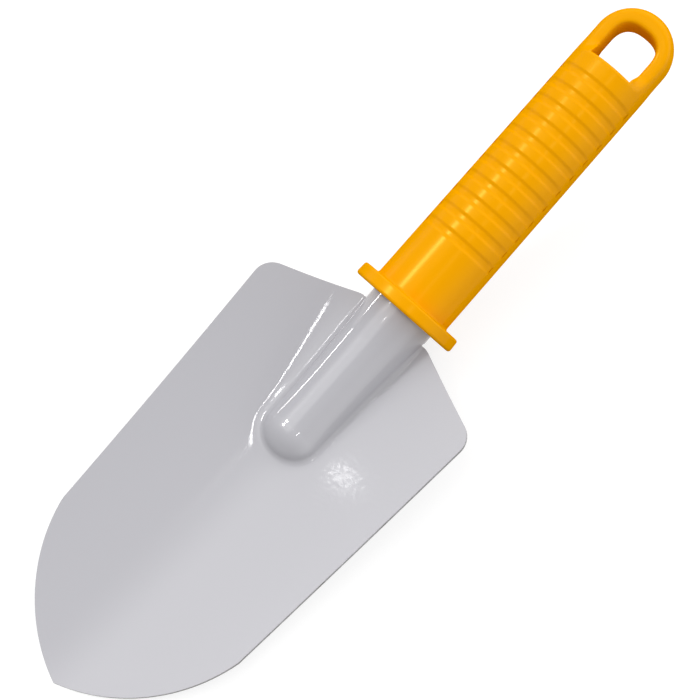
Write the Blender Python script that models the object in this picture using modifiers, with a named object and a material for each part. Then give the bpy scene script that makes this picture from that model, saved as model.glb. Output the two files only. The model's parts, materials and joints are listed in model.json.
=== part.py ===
# Garden trowel: a pressed sheet steel blade whose tang is held in a moulded plastic handle.
# Metres, +Z up. Both pieces are modelled in the handle's own directions, with +Y along the handle
# from the front face of its guard and the blade towards -Y. They hang from one empty that lays
# the trowel down on its back.
import math

import bmesh
import bpy
import numpy as np

mm = 0.001

# blade: sheet and middle line, lengths measured from the shoulders towards the tip
sheet_thickness = 1.2 * mm
blade_length = 156.2 * mm
neck_length = 4.0 * mm
root_drop = 2.5 * mm
blade_crank = math.radians(8.8)
blade_dish = math.radians(9.7)
scoop_radius = 140.0 * mm

# blade: outline
blade_half_width = 44.5 * mm
side_taper = math.radians(3.8)
shoulder_slope = math.radians(22.0)
shoulder_round = 7.4 * mm
side_length = 113.7 * mm
nose_radius = 59.0 * mm

# blade: half-round ridge
ridge_straight = 48.5 * mm
ridge_nose = 9.4 * mm
ridge_end_half_width = 9.9 * mm
ridge_end_height = 7.2 * mm
ridge_lean_in = 12.0 * mm

# blade: rolled neck and tang
neck_radius = 12.1 * mm
tang_wrap = math.radians(148.0)
tang_depth = 56.0 * mm

# handle: turned body, guard and bore
seat_gap = 0.3 * mm
tang_end_gap = 0.5 * mm
body_length = 100.7 * mm
grip_wall = 2.1 * mm
grip_taper = 0.5 * mm
body_end_round = 1.2 * mm
guard_lip = 5.4 * mm
guard_lip_taper = 0.6 * mm
guard_thickness = 4.7 * mm
guard_front_round = 0.6 * mm
guard_back_round = 1.1 * mm
guard_root_round = 0.8 * mm
core_radius = 10.0 * mm
end_wall = 10.7 * mm

# handle: grip grooves
groove_start = 27.1 * mm
groove_end_land = 5.5 * mm
groove_pitch = 6.47 * mm
groove_width = 2.55 * mm
groove_depth = 0.5 * mm
groove_side_inset = 0.55 * mm

# handle: hanging loop
hole_half_width = 7.75 * mm
hole_length = 16.9 * mm
loop_end_width = 7.2 * mm
loop_thickness = 12.5 * mm
loop_squareness = 2.6
loop_blend = 6.0 * mm
loop_root_depth = 3.0 * mm
loop_inset = 0.12 * mm

# mesh density
turn_steps = 48
round_steps = 5
ridge_columns = 8
curl_columns = 5
wing_columns = 9
shoulder_rows = 5
flank_rows = 9
nose_rows = 14
side_rows = 15
tang_rows = 6
loop_ring = 24
loop_leg_rows = 6
loop_turn_rows = 12

# working values
overcut = 3.0 * mm
merge_distance = 0.01 * mm
crease_angle = 28
tilt_limit = math.radians(40)
tilt_halvings = 40

bore_radius = neck_radius + seat_gap
bore_depth = tang_depth + tang_end_gap
core_depth = body_length - end_wall
body_radius_guard = bore_radius + grip_wall
body_radius_end = body_radius_guard - grip_taper
guard_radius = body_radius_guard + guard_lip
guard_back_radius = guard_radius - guard_lip_taper
groove_half_reach = body_radius_end - groove_side_inset
groove_span = body_length - groove_end_land - groove_width - groove_start
groove_count = int(groove_span / groove_pitch) + 1
root_y = -neck_length
root_z = -root_drop
quarter = math.pi / 2


def new_material(name, colour, roughness, metallic):
    material = bpy.data.materials.new(name)
    material.use_nodes = True
    shader = material.node_tree.nodes["Principled BSDF"]
    shader.inputs["Base Color"].default_value = (*colour, 1.0)
    shader.inputs["Roughness"].default_value = roughness
    shader.inputs["Metallic"].default_value = metallic
    return material


def new_object(name, collection):
    thing = bpy.data.objects.new(name, bpy.data.meshes.new(name))
    collection.objects.link(thing)
    return thing


def new_cutter(name, collection):
    cutter = new_object(name, collection)
    cutter.hide_render = True
    cutter.display_type = "WIRE"
    return cutter


def mirror_halves(thing):
    mirror = thing.modifiers.new("halves", "MIRROR")
    mirror.use_axis = (True, False, False)
    mirror.use_clip = True
    mirror.merge_threshold = merge_distance


def turn_profile(thing):
    """Turn the object's profile round its Y axis."""
    turned = thing.modifiers.new("turned", "SCREW")
    turned.axis = "Y"
    turned.steps = turn_steps
    turned.render_steps = turn_steps
    turned.use_merge_vertices = True
    turned.merge_threshold = merge_distance
    turned.use_smooth_shade = True


def combine(thing, operation, other):
    boolean = thing.modifiers.new(other.name, "BOOLEAN")
    boolean.operation = operation
    boolean.solver = "EXACT"
    boolean.object = other


def arc(centre, radius, start, end, steps):
    """Points on a circle, both ends included."""
    angles = [start + (end - start) * i / steps for i in range(steps + 1)]
    return [(centre[0] + radius * math.cos(a), centre[1] + radius * math.sin(a)) for a in angles]


# blade

def middle_line(s):
    """Place and slope of the blade's middle line at the length s from the shoulders."""
    half_bend = blade_dish * s / blade_length / 2
    chord = s * (math.sin(half_bend) / half_bend if half_bend > 0 else 1.0)
    y = root_y - chord * math.cos(blade_crank + half_bend)
    z = root_z + chord * math.sin(blade_crank + half_bend)
    return y, z, blade_crank + 2 * half_bend


def over_blade(s, x, height, lean=1.0):
    """A point the given height in front of the middle line, square to the blade."""
    y, z, slope = middle_line(s)
    return (x, y + height * math.sin(slope * lean), z + height * math.cos(slope * lean))


def scoop(x):
    """Rise of the dished blade at the distance x from its middle line."""
    return x * x / (2 * scoop_radius)


def blade_outline():
    """Outline of one half as (s, x): corner, side and nose, from the shoulder line to the tip."""
    neck_x = ridge_size(0.0)[0]
    corner_s = (blade_half_width - neck_x) * math.tan(shoulder_slope)
    corner = np.array([corner_s, blade_half_width])
    to_neck = np.array([-math.sin(shoulder_slope), -math.cos(shoulder_slope)])
    to_nose = np.array([math.cos(side_taper), -math.sin(side_taper)])
    opening = math.acos(to_neck @ to_nose)
    reach = shoulder_round / math.tan(opening / 2)
    inward = (to_neck + to_nose) / np.linalg.norm(to_neck + to_nose)
    centre = corner + inward * shoulder_round / math.sin(opening / 2)
    first = corner + to_neck * reach - centre
    last = corner + to_nose * reach - centre
    outline = arc(centre, shoulder_round, math.atan2(first[1], first[0]),
                  math.atan2(last[1], last[0]), shoulder_rows)

    kink = np.array([side_length, blade_half_width - (side_length - corner_s) * math.tan(side_taper)])
    side_start = np.array(outline[-1])
    outline += [side_start + (kink - side_start) * i / side_rows for i in range(1, side_rows)]

    chord = np.array([blade_length, 0.0]) - kink
    half = np.linalg.norm(chord) / 2
    inward = np.array([chord[1], -chord[0]]) / (2 * half)
    centre = kink + chord / 2 + inward * math.sqrt(nose_radius ** 2 - half ** 2)
    start = math.atan2(*(kink - centre)[::-1])
    end = math.atan2(-centre[1], blade_length - centre[0])
    outline += arc(centre, nose_radius, start, end, flank_rows + nose_rows - side_rows)
    return outline


def ridge_size(s):
    """Half width of the ridge's foot, and height of its crest over the middle line."""
    share = min(s / ridge_straight, 1.0)
    start_half_width = math.sqrt(neck_radius ** 2 - (root_z + scoop(neck_radius)) ** 2)
    start_height = neck_radius - root_z
    half_width = start_half_width + (ridge_end_half_width - start_half_width) * share
    height = start_height + (ridge_end_height - start_height) * share
    return half_width, height


def ridge_row(s, turn):
    """One row over the ridge, crest to foot, its section an arc; turn swings it round the nose."""
    half_width, height = ridge_size(s)
    rise = height - scoop(half_width)
    radius = (half_width ** 2 + rise ** 2) / (2 * rise)
    foot_angle = math.atan2(half_width, radius - rise)
    lean = min(s / ridge_lean_in, 1.0)
    row = []
    for j in range(ridge_columns + 1):
        angle = foot_angle * j / ridge_columns
        out = radius * math.sin(angle)
        ahead = out / half_width * ridge_nose * math.sin(turn)
        up = height - radius + radius * math.cos(angle)
        row.append(over_blade(s + ahead, out * math.cos(turn), up, lean))
    return row


def wing_row(s, turn, edge):
    """One row over the wing, from the foot of the ridge to the blade's edge."""
    half_width = ridge_size(s)[0]
    foot = np.array([s + ridge_nose * math.sin(turn), half_width * math.cos(turn)])
    row = []
    for j in range(wing_columns + 1):
        along, x = foot + (np.array(edge) - foot) * j / wing_columns
        row.append(over_blade(along, x, scoop(x)))
    return row


def tang_row(y, neck):
    """One row round the rolled neck and tang: the ridge's first row, and the curl behind it."""
    row = [(x, y, z) for x, _, z in neck]
    start = math.atan2(neck[-1][0], neck[-1][2])
    for j in range(1, curl_columns + 1):
        angle = start + (tang_wrap - start) * j / curl_columns
        row.append((neck_radius * math.sin(angle), y, neck_radius * math.cos(angle)))
    return row


def add_patch(mesh, rows):
    grid = [[mesh.verts.new(point) for point in row] for row in rows]
    for row, following in zip(grid, grid[1:]):
        for j in range(len(row) - 1):
            mesh.faces.new((row[j], following[j], following[j + 1], row[j + 1]))


def build_blade(collection, material):
    straight_rows = shoulder_rows + flank_rows
    steps = [(ridge_straight * k / straight_rows, 0.0) for k in range(straight_rows + 1)]
    steps += [(ridge_straight, quarter * k / nose_rows) for k in range(1, nose_rows + 1)]
    ridge = [ridge_row(s, turn) for s, turn in steps]
    wing = [wing_row(s, turn, edge) for (s, turn), edge in zip(steps, blade_outline())]
    lengths = [tang_depth + (root_y - tang_depth) * i / tang_rows for i in range(tang_rows + 1)]
    tang = [tang_row(y, ridge[0]) for y in lengths]

    sheet = bmesh.new()
    for rows in (tang, ridge, wing):
        add_patch(sheet, rows)
    bmesh.ops.remove_doubles(sheet, verts=sheet.verts, dist=merge_distance)
    blade = new_object("blade", collection)
    sheet.to_mesh(blade.data)
    sheet.free()
    blade.data.shade_smooth()
    blade.data.set_sharp_from_angle(angle=math.radians(crease_angle))
    mirror_halves(blade)
    solid = blade.modifiers.new("sheet", "SOLIDIFY")
    solid.thickness = sheet_thickness
    solid.offset = -1.0
    solid.use_even_offset = True
    blade.data.materials.append(material)
    return blade


# handle

def body_radius(along):
    share = (along - guard_thickness) / (body_length - guard_thickness)
    return body_radius_guard + (body_radius_end - body_radius_guard) * share


def handle_profile():
    """Half section as (radius, length from the guard's front face), from the far end round."""
    points = [(0.0, body_length)]
    points += arc((body_radius_end - body_end_round, body_length - body_end_round),
                  body_end_round, quarter, 0.0, round_steps)
    points += arc((body_radius_guard + guard_root_round, guard_thickness + guard_root_round),
                  guard_root_round, 2 * quarter, 3 * quarter, round_steps)
    points += arc((guard_back_radius - guard_back_round, guard_thickness - guard_back_round),
                  guard_back_round, quarter, 0.0, round_steps)
    points += arc((guard_radius - guard_front_round, guard_front_round),
                  guard_front_round, 0.0, -quarter, round_steps)
    points += [(bore_radius, 0.0), (bore_radius, bore_depth), (core_radius, bore_depth)]
    points += [(core_radius, core_depth), (0.0, core_depth)]
    return points


def build_grooves(collection):
    """Turned rings under the grip's surface, kept only where they face front and back."""
    slab = new_cutter("groove_slab", collection)
    shape = bmesh.new()
    bmesh.ops.create_cube(shape, size=1.0)
    wide = 2 * (body_radius_guard + 2 * overcut)
    bmesh.ops.scale(shape, vec=(2 * groove_half_reach, 2 * body_length, wide), verts=shape.verts)
    bmesh.ops.translate(shape, vec=(0.0, body_length / 2, 0.0), verts=shape.verts)
    shape.to_mesh(slab.data)
    shape.free()

    vertices = []
    edges = []
    outer = body_radius_guard + overcut
    for i in range(groove_count):
        along = groove_start + groove_pitch * i
        floor = body_radius(along + groove_width / 2) - groove_depth
        first = len(vertices)
        vertices += [(outer, along + groove_width, 0.0), (outer, along, 0.0),
                     (floor, along, 0.0), (floor, along + groove_width, 0.0)]
        edges += [(first + j, first + (j + 1) % 4) for j in range(4)]
    rings = new_cutter("groove_rings", collection)
    rings.data.from_pydata(vertices, edges, [])
    turn_profile(rings)
    combine(rings, "INTERSECT", slab)
    return rings


def loop_section(leg_x, width, merge):
    """Section of the loop as (offset from its middle, height); merge 1 is the body's own round."""
    section = []
    for i in range(loop_ring):
        angle = 2 * math.pi * (i + 0.5) / loop_ring
        power = 2 / loop_squareness
        offset = width / 2 * math.copysign(abs(math.cos(angle)) ** power, math.cos(angle))
        oval = loop_thickness / 2 * abs(math.sin(angle)) ** power
        flush = math.sqrt((leg_x + width / 2) ** 2 - (leg_x + offset) ** 2)
        height = oval + (flush - oval) * merge
        section.append((offset, math.copysign(height, math.sin(angle))))
    return section


def build_loop(collection):
    """Half of the hanging loop, from inside the body round to the middle plane."""
    outer = body_radius_end - loop_inset
    leg_width = outer - hole_half_width
    leg_x = (outer + hole_half_width) / 2
    straight = hole_length - hole_half_width
    centre_y = body_length + straight
    lengths = [body_length - loop_root_depth]
    lengths += [body_length + straight * i / loop_leg_rows for i in range(loop_leg_rows + 1)]
    rows = []
    for y in lengths:
        share = min(max((y - body_length) / loop_blend, 0.0), 1.0)
        merge = 1 - share * share * (3 - 2 * share)
        rows.append([(leg_x + offset, y, z) for offset, z in loop_section(leg_x, leg_width, merge)])
    for i in range(1, loop_turn_rows + 1):
        turn = quarter * i / loop_turn_rows
        width = leg_width + (loop_end_width - leg_width) * i / loop_turn_rows
        row = []
        for offset, z in loop_section(leg_x, width, 0.0):
            radius = hole_half_width + width / 2 + offset
            row.append((radius * math.cos(turn), centre_y + radius * math.sin(turn), z))
        rows.append(row)
    vertices = [point for row in rows for point in row]
    faces = [tuple(range(loop_ring))]
    for i in range(len(rows) - 1):
        near, far = i * loop_ring, (i + 1) * loop_ring
        for j in range(loop_ring):
            following = (j + 1) % loop_ring
            faces.append((near + following, near + j, far + j, far + following))
    loop = new_cutter("loop_form", collection)
    loop.data.from_pydata(vertices, [], faces)
    mirror_halves(loop)
    return loop


def build_handle(collection, cutters, material):
    profile = handle_profile()
    handle = new_object("handle", collection)
    handle.data.from_pydata([(radius, along, 0.0) for radius, along in profile],
                            [(i, i + 1) for i in range(len(profile) - 1)], [])
    turn_profile(handle)
    combine(handle, "UNION", build_loop(cutters))
    combine(handle, "DIFFERENCE", build_grooves(cutters))
    handle.data.materials.append(material)
    return handle


# resting attitude

def shape_points(thing):
    mesh = thing.evaluated_get(bpy.context.evaluated_depsgraph_get()).to_mesh()
    points = np.empty(len(mesh.vertices) * 3)
    mesh.vertices.foreach_get("co", points)
    return points.reshape(-1, 3)


def lowest(points, tilt):
    return (points[:, 1] * math.sin(tilt) + points[:, 2] * math.cos(tilt)).min()


def lay_down(blade, handle, stand):
    """Tip the trowel until the guard's rim and the blade's back stand on one level."""
    bpy.context.view_layer.update()
    blade_points = shape_points(blade)
    handle_points = shape_points(handle)
    low, high = 0.0, tilt_limit
    for _ in range(tilt_halvings):
        tilt = (low + high) / 2
        if lowest(blade_points, tilt) > lowest(handle_points, tilt):
            low = tilt
        else:
            high = tilt
    points = np.vstack([blade_points, handle_points])
    along = points[:, 1] * math.cos(tilt) - points[:, 2] * math.sin(tilt)
    stand.rotation_euler = (tilt, 0.0, 0.0)
    stand.location = (0.0, -(along.min() + along.max()) / 2, -lowest(points, tilt))


for old in list(bpy.data.objects):
    bpy.data.objects.remove(old, do_unlink=True)

trowel = bpy.data.collections.new("garden_trowel")
cutters = bpy.data.collections.new("cutters")
bpy.context.scene.collection.children.link(trowel)
bpy.context.scene.collection.children.link(cutters)

white_paint = new_material("white_paint", (0.78, 0.78, 0.80), 0.25, 0.0)
yellow_plastic = new_material("yellow_plastic", (0.92, 0.43, 0.01), 0.35, 0.0)
blade = build_blade(trowel, white_paint)
handle = build_handle(trowel, cutters, yellow_plastic)

stand = bpy.data.objects.new("resting_attitude", None)
trowel.objects.link(stand)
lay_down(blade, handle, stand)
for piece in [blade, handle] + list(cutters.objects):
    piece.parent = stand
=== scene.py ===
# Garden trowel: a white painted blade pressed from one sheet, in a moulded yellow handle.
# Both pieces are built in the handle's own directions, in metres: +Y along the handle from the
# front face of its guard, +Z out of the blade's hollow side, +X across. They are then moved to
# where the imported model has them.
import json
import math

import bmesh
import bpy
import numpy as np
from mathutils import Matrix, Vector


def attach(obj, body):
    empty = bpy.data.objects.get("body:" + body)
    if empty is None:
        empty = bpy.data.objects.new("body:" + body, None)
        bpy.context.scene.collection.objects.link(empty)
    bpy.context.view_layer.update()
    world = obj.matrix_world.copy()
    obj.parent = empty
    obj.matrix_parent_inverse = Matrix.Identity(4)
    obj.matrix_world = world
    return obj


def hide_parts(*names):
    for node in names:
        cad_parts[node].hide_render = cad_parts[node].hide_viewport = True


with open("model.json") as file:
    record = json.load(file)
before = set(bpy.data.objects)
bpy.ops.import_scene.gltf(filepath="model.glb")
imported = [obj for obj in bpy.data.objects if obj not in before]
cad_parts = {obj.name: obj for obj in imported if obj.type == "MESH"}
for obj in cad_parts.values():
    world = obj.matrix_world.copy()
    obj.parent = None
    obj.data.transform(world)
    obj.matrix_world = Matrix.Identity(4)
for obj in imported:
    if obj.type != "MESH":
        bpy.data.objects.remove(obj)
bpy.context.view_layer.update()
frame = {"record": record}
mm = 0.001
quarter = math.pi / 2

# mesh building: distances under which points become one, and angles from which an edge is sharp
weld_distance = 0.002 * mm
sliver_distance = 0.0005 * mm
mirror_weld_distance = 0.004 * mm
sheet_crease = math.radians(50)
moulding_crease = math.radians(40)

# mesh building: straight pieces over held_length get extra points, edge_inset from their ends
edge_inset = 0.15 * mm
held_length = 4 * edge_inset

# blade: middle line and outline, lengths measured from the shoulders towards the tip
sheet_thickness = 1.2 * mm
sheet_edge_round = 0.3 * mm
sheet_edge_steps = 4
sheet_edge_angle = math.radians(60)
blade_length = 156.0 * mm
neck_length = 4.0 * mm
root_drop = 2.5 * mm
blade_crank = math.radians(8.8)
blade_dish = math.radians(9.7)
least_bend = 1e-9
scoop_radius = 140.0 * mm
blade_half_width = 44.45 * mm
side_taper = math.radians(3.8)
shoulder_slope = math.radians(22.0)
shoulder_round = 7.4 * mm
side_length = 113.7 * mm
nose_radius = 59.0 * mm

# blade: ridge, the fillet at its foot, and the soft skirt that runs out into the wings
ridge_straight = 48.5 * mm
ridge_nose = 9.4 * mm
ridge_end_half_width = 10.3 * mm
ridge_end_height = 7.0 * mm
ridge_taper_power = 2.2
ridge_lean_in = 12.0 * mm
fillet_root_radius = 1.2 * mm
fillet_radius = 2.2 * mm
fillet_grows_over = 12.0 * mm
skirt_slope = math.radians(6.7)
skirt_end = 2.35 * mm
skirt_spread = 5.0 * mm
skirt_flare = 9.0 * mm
skirt_softness = 0.3
skirt_farthest = 60.0

# blade: rolled neck and tang
neck_radius = 12.1 * mm
tang_wrap = math.radians(148.0)
tang_depth = 56.0 * mm
curl_relief = 0.8 * mm

# handle: guard, grip and bore
bore_radius = 12.4 * mm
bore_depth = 56.5 * mm
core_radius = 10.0 * mm
core_depth = 90.0 * mm
guard_radius = 19.75 * mm
guard_back_radius = 19.6 * mm
guard_thickness = 4.7 * mm
guard_front_round = 1.0 * mm
guard_front_steps = 5
guard_back_round = 0.9 * mm
guard_back_steps = 6
guard_root_round = 0.8 * mm
guard_root_steps = 5
grip_radius_guard = 14.36 * mm
grip_radius_end = 13.86 * mm
grip_length = 101.0 * mm

# handle: grooves
groove_count = 11
groove_start = 27.1 * mm
groove_pitch = 6.47 * mm
groove_width = 2.55 * mm
groove_depth = 0.47 * mm
groove_wall = 1.3 * mm
groove_reach = 13.3 * mm
groove_draft = 0.07 * mm
groove_fade = 0.65
groove_fade_power = 8
groove_wall_steps = 7

# handle: hanging loop
hole_half_width = 7.8 * mm
hole_straight = 8.85 * mm
hole_end_length = 7.75 * mm
hole_squareness = 2.6
hole_rim_round = 1.1 * mm
loop_radius = 13.62 * mm
loop_centre = 9.85 * mm
loop_thickness = 12.5 * mm
loop_inner_squareness = 6.0
loop_outer_squareness = 2.3
loop_blend = 5.0 * mm

# camera: it aims at a point beside the handle's axis, camera_station along the axis and
# camera_sideways to its left in the picture; the handle's own angle in the picture is from the right
pixels_per_mm = 3.1
picture_pixels = 700
camera_distance = 553.87 * mm
camera_station = -20.26 * mm
camera_sideways = 4.69 * mm
handle_in_picture = math.radians(48.7905)
handle_lean = math.radians(1.97)
handle_roll = math.radians(10.0)
sensor_width = 36.0
nearest_seen = 50.0 * mm

# paint: the orange peel and the roughness grow across the blade, over these places along X
paint_colour = (0.41, 0.406, 0.432)
paint_roughness = 0.06
peel_scale = 600.0
peel_detail = 0.5
peel_depth = 0.035 * mm
peel_strength = (0.15, 0.7)
peel_roughness = (0.055, 0.11)
peel_grows = (12.0 * mm, 20.0 * mm)

# paint: painted shade on the cut edge of the sheet, a dark grey with lighter blotches
edge_shade_dark = (0.12, 0.115, 0.11)
edge_shade_light = (0.27, 0.265, 0.27)
edge_roughness = 0.3
edge_shade_dark_roughness = 0.4
edge_shade_light_roughness = 0.15
shade_blotches_scale = 350.0
shade_blotches_detail = 3.0
shade_blotches_spread = (0.3, 0.7)

# plastic: its shine fades towards the sides, over these values of Layer Weight's Facing
plastic_colour = (0.76, 0.318, 0.0)
plastic_roughness = 0.22
plastic_shine_colour = (1.0, 0.75, 0.15, 1.0)
plastic_shine = (0.2, 0.0)
shine_fades = (0.15, 0.55)
grain_scale = 2600.0
grain_detail = 2.0
grain_depth = 0.01 * mm
grain_strength = 0.3
cloud_scale = 90.0
cloud_detail = 3.0
cloud_roughness = (0.19, 0.25)

# floor
floor_half_size = 50.0
floor_colour = (0.3, 0.3, 0.3)
floor_roughness = 0.9
floor_glow = 0.76
white = (1.0, 1.0, 1.0, 1.0)

# ambient light: an edge holds where a light begins and where it is full, as the cosine of the
# angle to the direction that it comes from
room_light = 0.47
bank_light = 2.0
bank_edge = (0.2, 0.42)
bank_outer_edge = (0.95, 0.8)
bank_near_end = (-0.25, -0.05)
bank_far_end = (0.5, 0.3)
fill_light = 1.15
fill_edge = (0.4, 0.9)
end_light = 1.0
end_edge = (0.25, 0.9)

# lamps: name, degrees along the handle and degrees to its left from the camera's direction,
# distance and size in metres, the size along and across the handle, and radiance
lamps = (
    ("bend_lamp", 12.98, 14.6, 8.0, (0.72, 0.15), 25.0),
    ("low_lamp", -0.7, 97.5, 5.0, (0.26, 0.19), 40.0),
    ("grip_lamp", 2.01, 48.0, 5.0, (0.4, 0.8), 58.0),
    ("loop_lamp", 6.39, 48.0, 5.0, (0.6, 0.4), 28.0),
    ("thin_lamp", 6.94, -7.5, 5.0, (0.7, 0.12), 40.0),
)

# lamp close over the right wing: the place that it points at is given along, left and near
wing_lamp = ("wing_lamp", 15.54, 35.7, 0.145, (0.0025, 0.005), 27.0)
wing_spot = (-31.7 * mm, -24.5 * mm, 10.4 * mm)

# mesh density
ridge_columns = 26
fillet_columns = 10
wing_columns = 46
wing_crowding = 1.7
curl_columns = 16
straight_rows = 56
corner_rows = 12
nose_rows = 40
tip_rows = 26
tang_rows = 24
grip_columns = 14
side_columns = 9
flank_columns = 7
loop_leg_rows = 16
loop_turn_rows = 32
loop_rim_columns = 5
loop_wall_columns = 5

root_y = -neck_length
root_z = -root_drop


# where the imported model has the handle

def handle_frame():
    """Matrix from the handle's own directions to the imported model, from the guard's flat face."""
    face = next(m for m in frame["record"]["mounts"] if m["name"] == "guard_front")
    along = -Vector(face["axis"]).normalized()
    across = Vector((1.0, 0.0, 0.0))
    out = across.cross(along)
    turn = Matrix((across, along, out)).transposed().to_4x4()
    place = Vector(face["pos_m"])
    place.x = 0.0
    return Matrix.Translation(place) @ turn


to_world = handle_frame()


# mesh helpers

def arc(centre, radius, start, end, steps):
    """Points on a circle, both ends included."""
    angles = [start + (end - start) * i / steps for i in range(steps + 1)]
    return [(centre[0] + radius * math.cos(a), centre[1] + radius * math.sin(a)) for a in angles]


def smooth_step(share):
    """Zero to one, level at both ends."""
    share = min(max(share, 0.0), 1.0)
    return share * share * (3 - 2 * share)


def hold_edges(points):
    """Extra points close to the ends of each long straight piece, so that it is shaded flat."""
    held = [points[0]]
    for first, last in zip(points, points[1:]):
        length = math.dist(first, last)
        if length > held_length:
            for share in (edge_inset / length, 1 - edge_inset / length):
                held.append(tuple(a + (b - a) * share for a, b in zip(first, last)))
        held.append(last)
    return held


def add_patch(mesh, rows, flip=False):
    """Faces between neighbouring rows of points; three-sided where two points meet."""
    grid = [[mesh.verts.new(point) for point in row] for row in rows]
    for row, following in zip(grid, grid[1:]):
        for j in range(len(row) - 1):
            corners = (row[j], following[j], following[j + 1], row[j + 1])
            mesh.faces.new(corners[::-1] if flip else corners)


def finish_mesh(mesh, name, crease):
    """Object with the points of neighbouring patches joined."""
    bmesh.ops.remove_doubles(mesh, verts=mesh.verts, dist=weld_distance)
    bmesh.ops.dissolve_degenerate(mesh, edges=mesh.edges, dist=sliver_distance)
    thing = bpy.data.objects.new(name, bpy.data.meshes.new(name))
    mesh.to_mesh(thing.data)
    mesh.free()
    thing.data.shade_smooth()
    thing.data.set_sharp_from_angle(angle=crease)
    bpy.context.scene.collection.objects.link(thing)
    return thing


def mirror(thing, axes):
    """Add the other half, or the other three quarters."""
    halves = thing.modifiers.new("halves", "MIRROR")
    halves.use_axis = axes
    halves.use_clip = True
    halves.merge_threshold = mirror_weld_distance


def put_in_place(thing):
    """Keep the shape that the modifiers make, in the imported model's own directions."""
    scene_state = bpy.context.evaluated_depsgraph_get()
    shape = bpy.data.meshes.new_from_object(thing.evaluated_get(scene_state))
    shape.transform(to_world)
    thing.modifiers.clear()
    thing.data = shape


# blade

def middle_line(s):
    """Place and slope of the blade's middle line at the length s from the shoulders."""
    half_bend = blade_dish * s / blade_length / 2
    chord = s * (math.sin(half_bend) / half_bend if abs(half_bend) > least_bend else 1.0)
    y = root_y - chord * math.cos(blade_crank + half_bend)
    z = root_z + chord * math.sin(blade_crank + half_bend)
    return y, z, blade_crank + 2 * half_bend


def over_blade(s, x, height, lean=1.0):
    """Point at a height over the middle line, measured square to it at lean 1 and square to the
    handle's axis at lean 0."""
    y, z, slope = middle_line(s)
    return (x, y + height * math.sin(slope * lean), z + height * math.cos(slope * lean))


def scoop(x):
    """Rise of the scooped sheet at a distance from the middle."""
    return x * x / (2 * scoop_radius)


def ridge_size(s):
    """Half width and height of the ridge over the middle line."""
    share = min(max(s / ridge_straight, 0.0), 1.0)
    start_height = neck_radius + root_drop
    wider = (neck_radius - ridge_end_half_width) * (1 - share) ** ridge_taper_power
    half_width = ridge_end_half_width + wider
    height = start_height + (ridge_end_height - start_height) * share
    return half_width, height


def skirt_width(s):
    """Distance from the ridge's foot to the middle of the skirt's bend."""
    left_over = 1 - min(max(s / ridge_straight, 0.0), 1.0)
    return skirt_end + skirt_spread * left_over + skirt_flare * left_over ** 2


def fillet_size(s):
    """Radius of the hollow at the ridge's foot."""
    growth = smooth_step(s / fillet_grows_over)
    return fillet_root_radius + (fillet_radius - fillet_root_radius) * growth


def foot_distance(s, turn):
    """Distance from the ridge's middle to its foot; turn 0 is sideways, a quarter turn ahead."""
    half_width = ridge_size(s)[0]
    if turn <= 0:
        return half_width
    along = math.cos(turn) * ridge_nose
    across = math.sin(turn) * half_width
    return half_width * ridge_nose / math.hypot(along, across)


def wing_height(s, x):
    """Height of the front surface outside the ridge: the scoop, and the skirt rising from it."""
    if s <= ridge_straight:
        out, turn, station = x, 0.0, s
    else:
        ahead = s - ridge_straight
        out, turn, station = math.hypot(ahead, x), math.atan2(ahead, x), ridge_straight
    width = skirt_width(station)
    bend = width * skirt_softness
    inside = (foot_distance(station, turn) + width - out) / bend
    return scoop(x) + bend * math.tan(skirt_slope) * math.log1p(math.exp(min(inside, skirt_farthest)))


def ridge_row(s, turn):
    """Crest to the end of the fillet, as (distance, height) pairs in one section."""
    foot = foot_distance(s, turn)
    height = ridge_size(s)[1]
    bend = fillet_size(s)
    foot_height = wing_height(s + foot * math.sin(turn), foot * math.cos(turn))
    rise = height - foot_height
    radius = (foot ** 2 + rise ** 2) / (2 * rise)
    centre = height - radius
    # the fillet's circle touches the ridge's circle and the skirt's line
    out = foot + bend
    wing_start = wing_height(s + out * math.sin(turn), out * math.cos(turn))
    fall = math.atan((foot_height - wing_start) / bend)
    normal = (math.sin(fall), math.cos(fall))
    offset = foot * normal[0] + foot_height * normal[1] + bend - centre * normal[1]
    side = math.sqrt(max((radius + bend) ** 2 - offset ** 2, 0.0))
    fillet = (normal[0] * offset + normal[1] * side, centre + normal[1] * offset - normal[0] * side)
    touch = math.atan2(fillet[0], fillet[1] - centre)
    points = []
    for j in range(ridge_columns + 1):
        angle = touch * j / ridge_columns
        points.append((radius * math.sin(angle), centre + radius * math.cos(angle)))
    start = touch + math.pi
    end = math.pi + fall
    for j in range(1, fillet_columns + 1):
        angle = start + (end - start) * j / fillet_columns
        points.append((fillet[0] + bend * math.sin(angle), fillet[1] + bend * math.cos(angle)))
    return points


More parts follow.
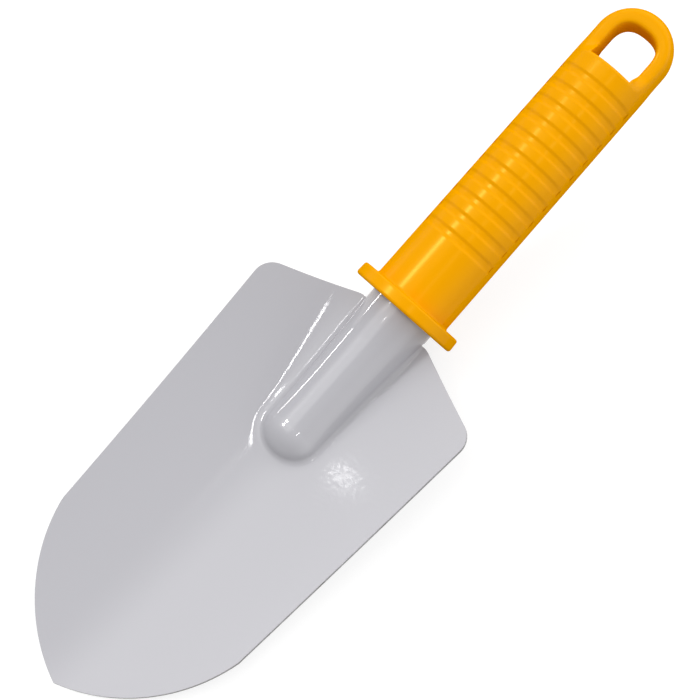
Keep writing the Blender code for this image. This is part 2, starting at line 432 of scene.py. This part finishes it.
def blade_outline():
    """Outline of one half as (s, x): corner, side and nose, from the shoulder line to the tip."""
    corner_s = (blade_half_width - neck_radius) * math.tan(shoulder_slope)
    corner = np.array([corner_s, blade_half_width])
    to_neck = np.array([-math.sin(shoulder_slope), -math.cos(shoulder_slope)])
    to_nose = np.array([math.cos(side_taper), -math.sin(side_taper)])
    opening = math.acos(to_neck @ to_nose)
    reach = shoulder_round / math.tan(opening / 2)
    inward = (to_neck + to_nose) / np.linalg.norm(to_neck + to_nose)
    centre = corner + inward * shoulder_round / math.sin(opening / 2)
    first = corner + to_neck * reach - centre
    last = corner + to_nose * reach - centre
    outline = arc(centre, shoulder_round, math.atan2(first[1], first[0]),
                  math.atan2(last[1], last[0]), corner_rows)
    kink = np.array([side_length, blade_half_width - (side_length - corner_s) * math.tan(side_taper)])
    side_start = np.array(outline[-1])
    side_rows = straight_rows + nose_rows - corner_rows - tip_rows
    outline += [side_start + (kink - side_start) * i / side_rows for i in range(1, side_rows)]
    chord = np.array([blade_length, 0.0]) - kink
    half = np.linalg.norm(chord) / 2
    inward = np.array([chord[1], -chord[0]]) / (2 * half)
    centre = kink + chord / 2 + inward * math.sqrt(nose_radius ** 2 - half ** 2)
    start = math.atan2(*(kink - centre)[::-1])
    end = math.atan2(-centre[1], blade_length - centre[0])
    outline += arc(centre, nose_radius, start, end, tip_rows)
    return outline


def blade_rows():
    """Rows over the ridge and out over the wing, from the shoulder line round to the tip."""
    steps = [(ridge_straight * k / straight_rows, 0.0) for k in range(straight_rows + 1)]
    steps += [(ridge_straight, quarter * k / nose_rows) for k in range(1, nose_rows + 1)]
    ridge = []
    wing = []
    for (s, turn), edge in zip(steps, blade_outline()):
        lean = min(s / ridge_lean_in, 1.0)
        row = []
        for out, height in ridge_row(s, turn):
            ahead = out * math.sin(turn)
            row.append(over_blade(s + ahead, out * math.cos(turn), height, lean))
            last = (s + ahead, out * math.cos(turn))
        ridge.append(row)
        start = np.array(last)
        reach = np.array(edge) - start
        row = [row[-1]]
        for j in range(1, wing_columns + 1):
            along, x = start + reach * (j / wing_columns) ** wing_crowding
            blend = lean + (1 - lean) * min(j / fillet_columns, 1.0)
            row.append(over_blade(along, x, wing_height(along, x), blend))
        wing.append(row)
    return ridge, wing


def tang_rows_of(neck):
    """Rows round the rolled neck and tang: the ridge's first row, and the curl behind it."""
    front = neck[:ridge_columns + 1]
    start = math.atan2(front[-1][0], front[-1][2])
    rows = []
    for i in range(tang_rows + 1):
        y = tang_depth + (root_y - tang_depth) * i / tang_rows
        row = [(x, y, z) for x, _, z in front]
        relief = curl_relief if i == tang_rows else 0.0
        for j in range(1, curl_columns + 1):
            angle = start + (tang_wrap - start) * j / curl_columns
            row.append((neck_radius * math.sin(angle), y + relief, neck_radius * math.cos(angle)))
        rows.append(row)
    return rows


def build_blade(face, edge):
    """Front surface of one half, mirrored and thickened to the back, with rounded edges; the cut edge
    gets a darker material as painted shade.
    """
    ridge, wing = blade_rows()
    sheet = bmesh.new()
    for rows in (tang_rows_of(ridge[0]), ridge, wing):
        add_patch(sheet, rows)
    blade = finish_mesh(sheet, "painted_blade", sheet_crease)
    mirror(blade, (True, False, False))
    solid = blade.modifiers.new("sheet", "SOLIDIFY")
    solid.thickness = sheet_thickness
    solid.offset = -1.0
    solid.use_even_offset = True
    # the rim faces take the second material, the painted shade of the cut edge
    solid.material_offset_rim = 1
    rim = blade.modifiers.new("rim", "BEVEL")
    rim.width = sheet_edge_round
    rim.segments = sheet_edge_steps
    rim.limit_method = "ANGLE"
    rim.angle_limit = sheet_edge_angle
    rim.harden_normals = True
    blade.data.materials.append(face)
    blade.data.materials.append(edge)
    return blade


# handle

def grip_radius(y):
    """Radius of the grip between its grooves."""
    share = (y - guard_thickness) / (grip_length - hole_rim_round - guard_thickness)
    return grip_radius_guard + (grip_radius_end - grip_radius_guard) * share


def section_angles(radius):
    """Angles of one quarter section from the front round to the side, at a grip radius."""
    rim = math.asin((hole_half_width + hole_rim_round) / grip_radius_end)
    inner = math.asin(min(groove_reach / radius, 1.0))
    outer = math.asin(min((groove_reach + groove_draft) / radius, 1.0))
    angles = [rim * i / grip_columns for i in range(grip_columns)]
    angles += [rim + (inner - rim) * i / side_columns for i in range(side_columns)]
    angles += [inner]
    angles += [outer + (quarter - outer) * i / flank_columns for i in range(flank_columns + 1)]
    return angles


def turned_row(radius, y):
    """A quarter of a round section, with the same angles as the grip's."""
    return [(radius * math.sin(a), y, radius * math.cos(a)) for a in section_angles(grip_radius_end)]


def grip_row(y, depth):
    """A quarter of the grip's section at y, cut the given depth where a groove is open."""
    radius = grip_radius(y)
    row = []
    for j, angle in enumerate(section_angles(radius)):
        x = radius * math.sin(angle)
        cut = radius
        if j <= grip_columns + side_columns:
            cut -= depth * (1 - groove_fade * (x / groove_reach) ** groove_fade_power)
        row.append((x, y, math.sqrt(max(cut ** 2 - x ** 2, 0.0))))
    return row


def groove_rows():
    """Stations along the grip as (y, depth), with soft sloping walls."""
    wall = []
    for k in range(groove_wall_steps + 1):
        share = k / groove_wall_steps
        wall.append((groove_wall * (share - 0.5), groove_depth * smooth_step(share)))
    stations = []
    for i in range(groove_count):
        start = groove_start + groove_pitch * i
        stations += [(start + offset, depth) for offset, depth in wall]
        stations += [(start + groove_width - offset, depth) for offset, depth in reversed(wall)]
    return stations


def inner_profile():
    """The bore and the guard as (radius, y), from the bore's blind end out to the grip."""
    points = [(0.0, core_depth), (core_radius, core_depth), (core_radius, bore_depth),
              (bore_radius, bore_depth), (bore_radius, 0.0)]
    points += arc((guard_radius - guard_front_round, guard_front_round),
                  guard_front_round, -quarter, 0.0, guard_front_steps)
    points += arc((guard_back_radius - guard_back_round, guard_thickness - guard_back_round),
                  guard_back_round, 0.0, quarter, guard_back_steps)
    root = grip_radius(guard_thickness)
    points += arc((root + guard_root_round, guard_thickness + guard_root_round),
                  guard_root_round, -quarter, -2 * quarter, guard_root_steps)
    return points


def rim_point(x, turn):
    """Height on the grip's rounded end over x, at the given turn of the rounding."""
    return math.sqrt(grip_radius_end ** 2 - x ** 2) - hole_rim_round * (1 - math.cos(turn))


def rim_offset(turn):
    """Distance still to go to the hole's edge, at the given turn of the rounding."""
    return hole_rim_round * (1 - math.sin(turn))


def end_wall_rows():
    """The rounded rim and flat end of the grip in front of the hole, from the crest outward."""
    rows = []
    for k in range(loop_rim_columns + 1):
        turn = quarter * k / loop_rim_columns
        reach = hole_half_width + rim_offset(turn)
        row = []
        for angle in section_angles(grip_radius_end)[:grip_columns + 1]:
            x = grip_radius_end * math.sin(angle) * reach / (hole_half_width + hole_rim_round)
            row.append((x, grip_length - rim_offset(turn), rim_point(x, turn)))
        rows.append(row)
    for k in range(1, loop_wall_columns + 1):
        share = 1 - k / loop_wall_columns
        rows.append([(x, grip_length, z * share) for x, _, z in rows[loop_rim_columns]])
    return rows


def leg_section():
    """The grip's own section where a leg of the loop starts, as (x, z) from the side inward."""
    edge = []
    for angle in reversed(section_angles(grip_radius_end)[grip_columns:]):
        edge.append((grip_radius_end * math.sin(angle), grip_radius_end * math.cos(angle)))
    for k in range(1, loop_rim_columns + 1):
        turn = quarter * k / loop_rim_columns
        x = hole_half_width + rim_offset(turn)
        edge.append((x, rim_point(x, turn)))
    top = edge[-1][1]
    for k in range(1, loop_wall_columns + 1):
        edge.append((hole_half_width, top * (1 - k / loop_wall_columns)))
    return edge


def loop_section(count):
    """The loop's section from the outside inward, as (share of its width, height)."""
    points = []
    for j in range(count):
        angle = math.pi * j / (count - 1)
        side = math.cos(angle)
        power = 2 / (loop_outer_squareness if side > 0 else loop_inner_squareness)
        share = (1 + math.copysign(abs(side) ** power, side)) / 2
        points.append((share, loop_thickness / 2 * abs(math.sin(angle)) ** power))
    return points


def loop_edges(turn):
    """Inner and outer edge of the loop's round end, in plan, at the given turn."""
    power = 2 / hole_squareness
    inner = (hole_half_width * math.cos(turn) ** power,
             grip_length + hole_straight + hole_end_length * math.sin(turn) ** power)
    outer = (loop_radius * math.cos(turn), grip_length + loop_centre + loop_radius * math.sin(turn))
    return inner, outer


def loop_rows():
    """Rows from the grip's end along one leg and round to the middle plane."""
    start = leg_section()
    section = loop_section(len(start))
    rows = []
    for i in range(loop_leg_rows + 1):
        share = i / loop_leg_rows
        merge = smooth_step(share * hole_straight / loop_blend)
        row = []
        for (x, z), (side, height) in zip(start, section):
            # the first row is mitred with the rounded rim of the grip's end
            back = min(x - hole_half_width, hole_rim_round) * (1 - merge)
            leg_x = hole_half_width + (loop_radius - hole_half_width) * side
            length = hole_straight + (loop_centre - hole_straight) * side
            row.append((x + (leg_x - x) * merge, grip_length + length * share - back,
                        z + (height - z) * merge))
        rows.append(row)
    for i in range(1, loop_turn_rows + 1):
        inner, outer = loop_edges(quarter * i / loop_turn_rows)
        row = []
        for side, height in section:
            x, y = (near + (far - near) * side for near, far in zip(inner, outer))
            row.append((x, y, height))
        rows.append(row)
    return rows


def build_handle(material):
    """A quarter of the moulding, mirrored to both sides."""
    rows = [turned_row(radius, y) for radius, y in hold_edges(inner_profile())]
    stations = [(guard_thickness + guard_root_round, 0.0)] + groove_rows()
    stations.append((grip_length - hole_rim_round, 0.0))
    rows += [grip_row(y, depth) for y, depth in hold_edges(stations)[1:]]
    shell = bmesh.new()
    add_patch(shell, rows, flip=True)
    add_patch(shell, end_wall_rows(), flip=True)
    add_patch(shell, loop_rows())
    handle = finish_mesh(shell, "moulded_handle", moulding_crease)
    mirror(handle, (True, False, True))
    handle.data.materials.append(material)
    return handle


# materials

def new_material(name, colour, roughness):
    """Plain node material, with its node tree and shader."""
    material = bpy.data.materials.new(name)
    material.use_nodes = True
    shader = material.node_tree.nodes["Principled BSDF"]
    shader.inputs["Base Color"].default_value = (*colour, 1.0)
    shader.inputs["Roughness"].default_value = roughness
    return material, material.node_tree, shader


def add_noise(tree, scale, detail):
    """Noise fixed to the piece; scale in waves per metre."""
    coordinates = tree.nodes.new("ShaderNodeTexCoord")
    noise = tree.nodes.new("ShaderNodeTexNoise")
    noise.inputs["Scale"].default_value = scale
    noise.inputs["Detail"].default_value = detail
    tree.links.new(coordinates.outputs["Object"], noise.inputs["Vector"])
    return noise


def map_range(tree, source, low, high, start=0.0, end=1.0):
    """Values low to high while the source goes smoothly from start to end."""
    ramp = tree.nodes.new("ShaderNodeMapRange")
    ramp.interpolation_type = "SMOOTHSTEP"
    ramp.inputs["From Min"].default_value = start
    ramp.inputs["From Max"].default_value = end
    ramp.inputs["To Min"].default_value = low
    ramp.inputs["To Max"].default_value = high
    tree.links.new(source, ramp.inputs["Value"])
    return ramp.outputs["Result"]


def add_bump(tree, shader, source, depth, strength):
    """Small relief on the surface, with its depth in metres."""
    bump = tree.nodes.new("ShaderNodeBump")
    bump.inputs["Distance"].default_value = depth
    bump.inputs["Strength"].default_value = strength
    tree.links.new(source, bump.inputs["Height"])
    tree.links.new(bump.outputs["Normal"], shader.inputs["Normal"])
    return bump


def white_paint():
    """Sprayed gloss paint with a faint orange peel."""
    material, tree, shader = new_material("white_paint", paint_colour, paint_roughness)
    peel = add_noise(tree, peel_scale, peel_detail)
    bump = add_bump(tree, shader, peel.outputs["Fac"], peel_depth, peel_strength[0])
    coordinates = tree.nodes.new("ShaderNodeTexCoord")
    across = tree.nodes.new("ShaderNodeSeparateXYZ")
    tree.links.new(coordinates.outputs["Object"], across.inputs["Vector"])
    strength = map_range(tree, across.outputs["X"], *peel_strength, *peel_grows)
    tree.links.new(strength, bump.inputs["Strength"])
    roughness = map_range(tree, across.outputs["X"], *peel_roughness, *peel_grows)
    tree.links.new(roughness, shader.inputs["Roughness"])
    return material


def painted_edge_shade():
    """Painted shade on the cut edge of the sheet: dark grey, lighter in blotches, rougher where darker.
    """
    material, tree, shader = new_material("painted_edge_shade", edge_shade_dark, edge_roughness)
    # noise spreads the edge's painted shade in darker and lighter blotches
    shade_blotches = add_noise(tree, shade_blotches_scale, shade_blotches_detail)
    colours = tree.nodes.new("ShaderNodeValToRGB")
    ends = colours.color_ramp.elements
    for element, place, colour in zip(ends, shade_blotches_spread, (edge_shade_dark, edge_shade_light)):
        element.position = place
        element.color = (*colour, 1.0)
    tree.links.new(shade_blotches.outputs["Fac"], colours.inputs["Fac"])
    tree.links.new(colours.outputs["Color"], shader.inputs["Base Color"])
    roughness = map_range(tree, shade_blotches.outputs["Fac"], edge_shade_dark_roughness, edge_shade_light_roughness)
    tree.links.new(roughness, shader.inputs["Roughness"])
    return material


def yellow_plastic():
    """Moulded plastic, semi-gloss, with a fine grain."""
    material, tree, shader = new_material("yellow_plastic", plastic_colour, plastic_roughness)
    shader.inputs["Specular Tint"].default_value = plastic_shine_colour
    facing = tree.nodes.new("ShaderNodeLayerWeight").outputs["Facing"]
    shine = map_range(tree, facing, *plastic_shine, *shine_fades)
    tree.links.new(shine, shader.inputs["Specular IOR Level"])
    grain = add_noise(tree, grain_scale, grain_detail)
    add_bump(tree, shader, grain.outputs["Fac"], grain_depth, grain_strength)
    cloud = add_noise(tree, cloud_scale, cloud_detail)
    roughness = map_range(tree, cloud.outputs["Fac"], *cloud_roughness)
    tree.links.new(roughness, shader.inputs["Roughness"])
    return material


def seen_rays(tree):
    """One for rays from the camera, and for those that metal or glass sends on."""
    path = tree.nodes.new("ShaderNodeLightPath")
    total = path.outputs["Is Camera Ray"]
    for ray in ("Is Glossy Ray", "Is Transmission Ray"):
        either = tree.nodes.new("ShaderNodeMath")
        either.operation = "MAXIMUM"
        tree.links.new(total, either.inputs[0])
        tree.links.new(path.outputs[ray], either.inputs[1])
        total = either.outputs["Value"]
    return total


def pale_floor():
    """Matt floor that is seen as white, with the object's shadow kept."""
    material, tree, shader = new_material("pale_floor", floor_colour, floor_roughness)
    shader.inputs["Specular IOR Level"].default_value = 0.0
    shader.inputs["Emission Color"].default_value = white
    glow = map_range(tree, seen_rays(tree), 0.0, floor_glow)
    tree.links.new(glow, shader.inputs["Emission Strength"])
    return material


# camera and light, placed along the picture's own directions

def camera_directions():
    """Along the handle, to its left in the picture and towards the camera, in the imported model."""
    lean, roll = handle_lean, handle_roll
    along = Vector((-math.sin(roll) * math.sin(lean), math.cos(lean), -math.cos(roll) * math.sin(lean)))
    left = Vector((-math.cos(roll), 0.0, math.sin(roll)))
    near = Vector((math.sin(roll) * math.cos(lean), math.sin(lean), math.cos(roll) * math.cos(lean)))
    turn = to_world.to_3x3()
    return turn @ along, turn @ left, turn @ near


along, left, near = camera_directions()
right = along * math.cos(handle_in_picture) - left * math.sin(handle_in_picture)
up = along * math.sin(handle_in_picture) + left * math.cos(handle_in_picture)
aim = to_world @ Vector((0.0, camera_station, 0.0)) + left * camera_sideways


def add_camera():
    """Camera over its aim, turned so that the handle runs at its angle in the picture."""
    data = bpy.data.cameras.new("camera")
    data.sensor_width = sensor_width
    data.lens = sensor_width * camera_distance / mm * pixels_per_mm / picture_pixels
    data.clip_start = nearest_seen
    camera = bpy.data.objects.new("camera", data)
    camera.matrix_world = Matrix.Translation(aim + near * camera_distance) @ Matrix(
        (right, up, near)).transposed().to_4x4()
    bpy.context.scene.collection.objects.link(camera)
    bpy.context.scene.camera = camera


def in_picture(steps):
    """Vector with these steps along the handle, to its left and towards the camera."""
    return along * steps[0] + left * steps[1] + near * steps[2]


def add_lamp(target, name, along_degrees, left_degrees, distance, size, radiance):
    """Rectangular lamp that faces its target, at the given angles and distance from it."""
    raised = math.radians(along_degrees)
    turned = math.radians(left_degrees)
    level = math.cos(raised)
    back = in_picture((math.sin(raised), level * math.sin(turned), level * math.cos(turned)))
    side = (along - along.project(back)).normalized()
    data = bpy.data.lights.new(name, "AREA")
    data.shape = "RECTANGLE"
    data.size, data.size_y = size
    data.energy = radiance * math.pi * size[0] * size[1]
    lamp = bpy.data.objects.new(name, data)
    lamp.matrix_world = Matrix.Translation(target + back * distance) @ Matrix(
        (side, back.cross(side), back)).transposed().to_4x4()
    bpy.context.scene.collection.objects.link(lamp)


def add_world():
    """Even light from all round, with a bank of light on the left, a softer and weaker one on the
    right and one beyond the handle's end."""
    world = bpy.data.worlds.new("studio")
    bpy.context.scene.world = world
    world.use_nodes = True
    tree = world.node_tree
    ways = tree.nodes.new("ShaderNodeTexCoord").outputs["Generated"]

    def toward_axis(axis):
        """Cosine of the angle between a direction and the axis."""
        share = tree.nodes.new("ShaderNodeVectorMath")
        share.operation = "DOT_PRODUCT"
        share.inputs[1].default_value = axis
        tree.links.new(ways, share.inputs[0])
        return share.outputs["Value"]

    def combine(operation, first, second):
        """One value from two, by a Math node."""
        node = tree.nodes.new("ShaderNodeMath")
        node.operation = operation
        tree.links.new(first, node.inputs[0])
        tree.links.new(second, node.inputs[1])
        return node.outputs["Value"]

    bank = map_range(tree, toward_axis(left), 0.0, bank_light, *bank_edge)
    for axis, edge in ((left, bank_outer_edge), (along, bank_near_end), (along, bank_far_end)):
        bank = combine("MULTIPLY", bank, map_range(tree, toward_axis(axis), 0.0, 1.0, *edge))
    fill = map_range(tree, toward_axis(-left), room_light, room_light + fill_light, *fill_edge)
    end = map_range(tree, toward_axis(along), 0.0, end_light, *end_edge)
    total = combine("ADD", combine("ADD", bank, fill), end)
    tree.links.new(total, tree.nodes["Background"].inputs["Strength"])
    tree.nodes["Background"].inputs["Color"].default_value = white


def add_floor():
    """Ground under the trowel, which fills the photograph's view; low side views see its edge."""
    floor = bpy.data.objects.new("floor", bpy.data.meshes.new("floor"))
    half = floor_half_size
    corners = [(-half, -half, 0.0), (half, -half, 0.0), (half, half, 0.0), (-half, half, 0.0)]
    floor.data.from_pydata(corners, [], [(0, 1, 2, 3)])
    floor.data.materials.append(pale_floor())
    bpy.context.scene.collection.objects.link(floor)


blade = build_blade(white_paint(), painted_edge_shade())
handle = build_handle(yellow_plastic())
for piece, node, slot in ((blade, "blade", "blade_paint"), (handle, "handle", "handle_plastic")):
    put_in_place(piece)
    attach(piece, "root")
    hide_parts(node)

add_floor()
add_camera()
add_world()
for lamp in lamps:
    add_lamp(aim, *lamp)
add_lamp(aim + in_picture(wing_spot), *wing_lamp)

bpy.context.scene.view_settings.view_transform = "Standard"
